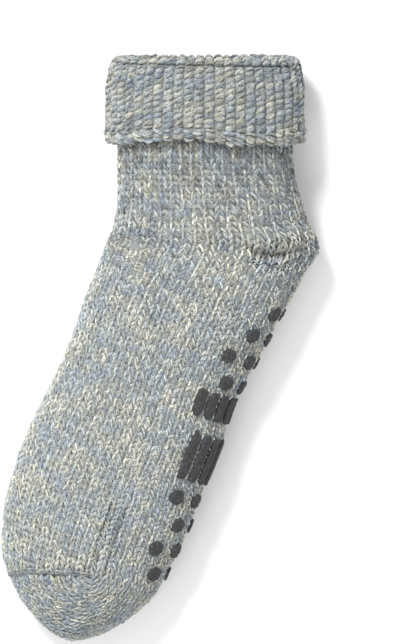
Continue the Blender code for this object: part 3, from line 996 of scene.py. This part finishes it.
def build_cuff(bump, edge_loop, wool, ground_material):
    clear_selection()
    ways = np.linspace(0.0, CUFF_WAYS[-1], GROUND_ROWS)
    inside = -WALL - SEAT_GAP
    columns = RIBS * POINTS_PER_RIB
    hook = np.array((
        (CUFF_LIP_HEIGHT, inside), (0.0055, inside), (FOLD_HEIGHT, inside),
        (FOLD_HEIGHT, SEAT_GAP), (0.012, SEAT_GAP), (CUFF_HEIGHT * 0.45, SEAT_GAP + CUFF_FLARE),
        (CUFF_HEIGHT * 0.75, SEAT_GAP + CUFF_FLARE), (CUFF_HEIGHT * 0.96, SEAT_GAP + CUFF_FLARE)))
    minor = len(ways) + len(hook)
    bpy.ops.mesh.primitive_torus_add(major_segments=columns, minor_segments=minor,
                                     major_radius=0.05, minor_radius=0.01)
    ground = bpy.context.object
    ground.name = "cuff_ground"
    turns = np.arange(columns) * 2.0 / columns
    ribs = np.abs(np.sin(turns * RIBS / 2 * math.pi))
    sunk = RIB_GROUND_DEPTH + GROOVE * (1 - ribs)
    way, turn = np.broadcast_arrays(ways[None, :], turns[:, None])
    outward = normals_of(cuff_point, np.clip(way, WAY_NUDGE, ways[-1] - WAY_NUDGE), turn,
                         WAY_NUDGE, TURN_NUDGE)
    outer = cuff_point(way, turn)
    pressed = crease(CUFF_PLACE(way), across_of(outer, CUFF_PLACE(way)), CREASE_SPREAD)
    pressed = np.where((outward[:, :, 2] > 0) & (CUFF_OUTSET(way) > 0), pressed, 0.0)
    outer = outer - outward * (sunk[:, None] + pressed)[:, :, None]
    outer[:, :, 2] = np.maximum(outer[:, :, 2], SEAT_GAP)
    angles = angle_of(hook[None, :, 0], turns[:, None])
    sag = SAG(turns)[:, None] * (hook[None, :, 0] / CUFF_HEIGHT) * (hook[None, :, 1] > inside)
    inner = skin(hook[None, :, 0] + sag, angles, hook[None, :, 1])
    shaped = np.concatenate((outer, inner), axis=1)
    wale = np.broadcast_to((turns * RIBS / 2)[:, None], (columns, minor)).reshape(-1)
    place_points(ground, shaped, (("wale", wale), ("course", np.zeros(columns * minor))))
    face_outwards()
    bpy.ops.object.shade_smooth()
    finish_piece(ground, ground_material, ("turned_cuff",))
    rows = round((CUFF_WAYS[-1] - BAND_TOP) / RIB_COURSE)
    phases = RANDOM.uniform(0.0, 1.0, RIBS)
    cells, column, course, shade = cuff_cells(BAND_TOP, CUFF_WAYS[-1], rows, phases)
    tones = tones_at(column, CUFF_COURSES + course, 2, shade)
    lay_copies("cuff_purl_bumps", bump, cells, tones, wool, BUMP_LOOSENESS)
    phases = 0.5 * (np.arange(RIBS) % 2)
    cells, column, course, shade = cuff_cells(FIRST_WAY, BAND_TOP, EDGE_ROWS, phases)
    tones = tones_at(column, EDGE_COURSES + course, 2, EDGE_PAINTED_SHADE * shade)
    lay_copies("cast_on_edge", edge_loop, cells, tones, wool, EDGE_LOOSENESS)


# The seam across the toe: half turns around and share of the toe along

SEAM_WIDTH = 0.0026
SEAM_OUTSET = 0.000165
SEAM_PATH = (
    (0.48, 0.13),
    (0.70, 0.27),
    (1.00, 0.44),
    (1.14, 0.42),
)
SEAM_STITCHES = 30
# Painted shade: the seam's yarn is darker, for the shadow along the seam
SEAM_PAINTED_SHADE = 0.85
ROW_MARGIN = 0.02
ROW_NUDGE, SIDE_NUDGE = 0.01, 0.2


def build_seam(stitch, material):
    marks = range(len(SEAM_PATH))
    last = len(SEAM_PATH) - 1.0
    around = smooth_curve(marks, [row[0] for row in SEAM_PATH])
    along = smooth_curve(marks, [row[1] for row in SEAM_PATH])

    def seam_point(row, side):
        place = TOE + along(row) * TOE_LENGTH + side * SEAM_WIDTH / 2
        return skin(place, math.pi * around(row), SEAM_OUTSET)

    edges = np.linspace(0.0, last, SEAM_STITCHES + 1)
    near, far = edges[:-1], edges[1:]
    row = np.stack((near, near, far, far), axis=1)
    side = np.broadcast_to(np.array((-1.0, 1.0, -1.0, 1.0)), row.shape)
    corners = seam_point(row, side)
    normals = normals_of(seam_point, np.clip(row, ROW_MARGIN, last - ROW_MARGIN), side,
                         ROW_NUDGE, SIDE_NUDGE)
    tones = tones_at(np.arange(SEAM_STITCHES), np.full(SEAM_STITCHES, SEAM_COURSE), 4,
                     TOE_PAINTED_SHADE * SEAM_PAINTED_SHADE)
    lay_copies("toe_seam_chain", stitch, (corners, normals), tones, material,
               1.0, ("toe_seam",))


# Rubber grips on the sole

def sole_way():
    """The way along the sole's edge from the heel's point, and its places."""
    heel = STARTS["ankle"] + HEEL_POINT * LENGTHS["ankle"]
    places = np.linspace(heel, TOE + TOE_LENGTH / 2, 400)
    return ways_along(skin(places, 0.0)), places


SOLE_WAY, SOLE_PLACES = sole_way()


def sole_point(way, arc, outset):
    """A point by its way along the sole and its way around from the edge."""
    place = np.interp(way, SOLE_WAY, SOLE_PLACES)
    upper = between(UPPER_ANGLES, place, np.clip(arc, 0.0, None)
                    / np.interp(place, TURN_PLACES, UPPER_WAYS))
    under = between(UNDER_ANGLES, place, np.clip(-arc, 0.0, None)
                    / np.interp(place, TURN_PLACES, UNDER_WAYS))
    return skin(place, upper - under, outset)


# A grip starts from a sphere of these points around and down. Its root lies in
# the knit, its top is a share of the rise, and its outline wobbles a little
GRIP_POINTS = (32, 18)
GRIP_ROOT = -0.0004
GRIP_TOP = 0.6
GRIP_CROWN = 0.55
DOT_ROUNDNESS, BAR_ROUNDNESS = 2.0, 3.4
WOBBLE = ((3, 0.025), (5, 0.018))
RELIEF = 0.00016
RELIEF_WIDTH = 0.0027
RELIEF_FROM = 0.3


def knit_relief(way, arc):
    """How the stitches below show through the rubber."""
    wave = np.sin(way / COURSE * 2 * math.pi) * 0.5
    wave += np.sin(arc / RELIEF_WIDTH * 2 * math.pi + way / COURSE * math.pi)
    return RELIEF * wave


def build_grip(name, way, arc, half_length, half_width, roundness, material):
    """A pad of rubber on the knit: a round or long outline with soft edges."""
    clear_selection()
    bpy.ops.mesh.primitive_uv_sphere_add(segments=GRIP_POINTS[0], ring_count=GRIP_POINTS[1],
                                         radius=1.0)
    grip = bpy.context.object
    grip.name = name
    points = points_of(grip.data)
    spin = np.arctan2(points[:, 1], points[:, 0])
    reach = np.hypot(points[:, 0], points[:, 1])
    wobble = 1 + sum(size * np.sin(waves * spin + RANDOM.uniform(0, 6)) for waves, size in WOBBLE)
    edge_long = power_of(np.cos(spin), 2 / roundness) * half_length
    edge_wide = power_of(np.sin(spin), 2 / roundness) * half_width
    spread = np.sin(np.clip(reach, 0.0, 1.0) * math.pi / 2) * wobble
    along, around = way + edge_long * spread, arc + edge_wide * spread
    crown = power_of(points[:, 2], GRIP_CROWN)
    top = SEAT_GAP + GRIP_RISE * GRIP_TOP
    outset = GRIP_ROOT + np.where(crown > 0, top - GRIP_ROOT, -2 * GRIP_ROOT) * crown
    outset = outset + np.where(crown > RELIEF_FROM, knit_relief(along, around), 0.0)
    place_points(grip, sole_point(along, around, outset))
    face_outwards()
    bpy.ops.object.shade_smooth()
    finish_piece(grip, material, (name.replace("grip_", ""),))


def build_grips(material):
    short_at = HEEL_GRIPS_AT + (len(HEEL_ROWS) - 1) * ROW_PITCH + HEEL_TO_BARS
    long_at = short_at + SHORT_BAR_LENGTH + BAR_LINE_GAP
    ball_at = long_at + LONG_BAR_LENGTH + BARS_TO_BALL
    for patch, start, rows, twist in (("heel", HEEL_GRIPS_AT, HEEL_ROWS, PRINT_TWIST),
                                      ("ball", ball_at, BALL_ROWS, 0.0)):
        for row, count in enumerate(rows):
            for i in range(count):
                arc = twist + (i - (count - 1) / 2) * DOT_PITCH
                build_grip(f"grip_{patch}_dot_{row + 1}_{i + 1}", start + row * ROW_PITCH, arc,
                           DOT_DIAMETER / 2, DOT_DIAMETER / 2, DOT_ROUNDNESS, material)
    for line, start, length, count, twist in (
            ("short", short_at, SHORT_BAR_LENGTH, SHORT_BARS, PRINT_TWIST),
            ("long", long_at, LONG_BAR_LENGTH, LONG_BARS, 0.0)):
        for i in range(count):
            arc = twist + (i - (count - 1) / 2) * BAR_PITCH
            build_grip(f"grip_{line}_bar_{i + 1}", start + length / 2, arc,
                       length / 2, BAR_WIDTH / 2, BAR_ROUNDNESS, material)


# Materials

def new_material(name):
    material = bpy.data.materials.new(name)
    material.use_nodes = True
    return material, material.node_tree, material.node_tree.nodes["Principled BSDF"]


def feed(tree, node, inputs):
    """Links a node's inputs to sockets, or sets them to plain values."""
    for key, value in inputs.items():
        if isinstance(value, bpy.types.NodeSocket):
            tree.links.new(value, node.inputs[key])
        else:
            node.inputs[key].default_value = value


def add_node(tree, kind, inputs=None, **settings):
    """A node, next to the last one in a row that ends left of the shader."""
    node = tree.nodes.new("ShaderNode" + kind)
    node.location = (200 * (len(tree.nodes) - 30), 0)
    for key, value in settings.items():
        setattr(node, key, value)
    feed(tree, node, inputs or {})
    return node


def noise(tree, scale, detail, roughness=0.5):
    """Noise on the piece's own coordinates."""
    where = add_node(tree, "TexCoord")
    return add_node(tree, "TexNoise", {
        "Vector": where.outputs["Object"], "Scale": scale, "Detail": detail,
        "Roughness": roughness}).outputs["Fac"]


def calculate(tree, operation, *values):
    inputs = dict(enumerate(values))
    return add_node(tree, "Math", inputs, operation=operation).outputs["Value"]


def remap(tree, value, low, high, to_low=0.0, to_high=1.0):
    return add_node(tree, "MapRange", {
        "Value": value, "From Min": low, "From Max": high, "To Min": to_low,
        "To Max": to_high}).outputs["Result"]


def colour_ramp(tree, value, stops):
    ramp = add_node(tree, "ValToRGB", {"Fac": value})
    band = ramp.color_ramp
    for i, (position, colour) in enumerate((stops[0], stops[-1])):
        band.elements[i].position, band.elements[i].color = position, (*colour, 1.0)
    for position, colour in stops[1:-1]:
        band.elements.new(position).color = (*colour, 1.0)
    return ramp.outputs["Color"]


def relief(tree, height, strength, distance):
    return add_node(tree, "Bump", {
        "Height": height, "Strength": strength, "Distance": distance}).outputs["Normal"]


BLUE_GREY = (0.325, 0.385, 0.452)
COOL_GREY = (0.390, 0.433, 0.450)
PALE_GREY = (0.450, 0.475, 0.450)
BEIGE = (0.520, 0.512, 0.432)
CREAM = (0.610, 0.595, 0.505)
SLATE = (0.050, 0.065, 0.085)
PEPPER = (0.78 * FULL_LEVEL, 1.22 * FULL_LEVEL)


def marl_wool():
    """Marl wool: tone by the yarn, flecks of fibre, and a ply's twist."""
    material, tree, shader = new_material("marl_wool")
    marl = add_node(tree, "Attribute", attribute_name="marl").outputs
    parts = add_node(tree, "SeparateColor", {"Color": marl["Color"]}).outputs
    fleck = noise(tree, 850.0, 3.0, 0.7)
    drift = noise(tree, 170.0, 2.0)
    specks = noise(tree, 1500.0, 1.0)
    grain = noise(tree, 430.0, 1.0)
    tone = calculate(tree, "MULTIPLY_ADD", fleck, 0.5, parts["Red"])
    tone = calculate(tree, "MULTIPLY_ADD", drift, 0.9, tone)
    tone = remap(tree, tone, 0.70, 1.70)
    wool = colour_ramp(tree, tone, (
        (0.00, BLUE_GREY), (0.28, COOL_GREY), (0.52, PALE_GREY), (0.78, BEIGE), (1.00, CREAM)))
    plain = colour_ramp(tree, specks, ((0.30, (0.0, 0.0, 0.0)), (0.46, (1.0, 1.0, 1.0))))
    flecked = add_node(tree, "Mix", {"Factor": plain, "A": (*SLATE, 1.0), "B": wool},
                       data_type="RGBA")
    pepper = remap(tree, grain, 0.30, 0.70, *PEPPER)
    level = calculate(tree, "MULTIPLY", parts["Green"], pepper)
    shaded = add_node(tree, "Mix", {"Factor": 1.0, "A": flecked.outputs["Result"], "B": level},
                      data_type="RGBA", blend_type="MULTIPLY")
    twist = calculate(tree, "MULTIPLY_ADD", parts["Blue"], 3.0, marl["Alpha"])
    twist = calculate(tree, "MULTIPLY", twist, 4 * math.pi)
    twist = calculate(tree, "SINE", twist)
    fibre = calculate(tree, "MULTIPLY_ADD", twist, 0.35, specks)
    feed(tree, shader, {
        "Base Color": shaded.outputs["Result"], "Roughness": 0.95, "Specular IOR Level": 0.15,
        "Sheen Weight": 0.25, "Sheen Roughness": 0.6,
        "Normal": relief(tree, fibre, 0.55, 0.0003)})
    return material


def ground_wool_painted_shade():
    """The wall under the stitches: wool darkened with painted shade, with the purl side's waves.
    """
    material, tree, shader = new_material("wool_ground_painted_shade")
    # Painted shade: the wall's wool is darker than the yarn, for the shadow between and under the
    # stitches
    colour = colour_ramp(tree, noise(tree, 420.0, 4.0), (
        (0.30, (0.14, 0.155, 0.165)), (0.50, (0.24, 0.25, 0.245)), (0.72, (0.36, 0.355, 0.32))))
    waves = []
    for label in ("wale", "course"):
        count = add_node(tree, "Attribute", attribute_name=label)
        turn = calculate(tree, "MULTIPLY", count.outputs["Fac"], 2 * math.pi)
        waves.append(calculate(tree, "SINE", turn))
    purl = calculate(tree, "MULTIPLY_ADD", waves[0], 0.35, waves[1])
    feed(tree, shader, {
        "Base Color": colour, "Roughness": 1.0, "Specular IOR Level": 0.1,
        "Normal": relief(tree, purl, 0.8, 0.0008)})
    return material


def grip_rubber():
    """Matt rubber, printed on the knit: soft wear and fine pores."""
    material, tree, shader = new_material("matt_rubber")
    pores = noise(tree, 700.0, 5.0)
    colour = colour_ramp(tree, pores, (
        (0.35, (0.026, 0.026, 0.028)), (0.55, (0.040, 0.040, 0.042)),
        (0.75, (0.075, 0.075, 0.077))))
    feed(tree, shader, {
        "Base Color": colour, "Specular IOR Level": 0.3,
        "Roughness": remap(tree, pores, 0.0, 1.0, 0.62, 0.85),
        "Normal": relief(tree, pores, 0.35, 0.0002)})
    return material


# Room: each lamp's place, size and power

LAMPS = (
    ("key_light", (-0.70, 0.80, 1.15), 0.45, 27.0),
    ("fill_light", (-0.25, -0.75, 1.2), 0.9, 6.0),
)
LAMP_AIM = Vector((0.0, -0.03, 0.02))


def build_room():
    clear_selection()
    bpy.ops.mesh.primitive_plane_add(size=6.0, location=(0, 0, -0.0002))
    floor = bpy.context.object
    floor.name = "floor"
    bpy.ops.object.transform_apply(location=True)
    material, tree, shader = new_material("pale_floor")
    feed(tree, shader, {"Base Color": (0.84, 0.84, 0.84, 1.0), "Roughness": 0.8})
    floor.data.materials.append(material)
    world = bpy.data.worlds.new("soft_room")
    world.use_nodes = True
    feed(world.node_tree, world.node_tree.nodes["Background"],
         {"Color": (1.0, 1.0, 1.0, 1.0), "Strength": 0.88})
    bpy.context.scene.world = world
    bpy.context.scene.view_settings.view_transform = "Standard"
    for name, place, size, power in LAMPS:
        lamp = bpy.data.lights.new(name, "AREA")
        lamp.shape = "DISK"
        lamp.size = size
        lamp.energy = power
        holder = bpy.data.objects.new(name, lamp)
        holder.location = place
        aim = LAMP_AIM - Vector(place)
        holder.rotation_euler = aim.to_track_quat("-Z", "Y").to_euler()
        bpy.context.scene.collection.objects.link(holder)


# Camera: it looks down on the sock from over the collar's end, a little off
# the vertical, and is rolled so that the leg stands upright in the picture
SENSOR_HEIGHT = 36.0
PICTURE_HEIGHT_M = 0.3413
CAMERA_DISTANCE = 2.2
CAMERA_TILT = math.radians(6.0)
CAMERA_ROLL = ANKLE_TURN / 2
LOOK_AT = Vector((0.0054, -0.0300, 0.0230))


def build_camera():
    camera = bpy.data.cameras.new("camera")
    camera.sensor_fit = "VERTICAL"
    camera.sensor_height = SENSOR_HEIGHT
    camera.lens = SENSOR_HEIGHT * CAMERA_DISTANCE / PICTURE_HEIGHT_M
    camera.clip_end = 20.0
    holder = bpy.data.objects.new("camera", camera)
    upward = Vector((-math.sin(CAMERA_ROLL), math.cos(CAMERA_ROLL), 0.0))
    away = upward * math.sin(CAMERA_TILT) + Vector((0, 0, 1)) * math.cos(CAMERA_TILT)
    back = away.normalized()
    side = upward.cross(back).normalized()
    up = back.cross(side).normalized()
    holder.location = LOOK_AT + back * CAMERA_DISTANCE
    turn = np.array((side, up, back)).T
    holder.rotation_euler = Matrix(turn.tolist()).to_euler()
    bpy.context.scene.collection.objects.link(holder)
    bpy.context.scene.camera = holder


def main():
    wool, ground = marl_wool(), ground_wool_painted_shade()
    stitch, bump, edge_loop = make_stitch(), make_bump(), make_edge_loop()
    build_ground(ground)
    build_knit(stitch, wool)
    build_pocket(stitch, wool)
    build_cuff(bump, edge_loop, wool, ground)
    build_seam(stitch, wool)
    build_grips(grip_rubber())
    build_room()
    build_camera()


main()
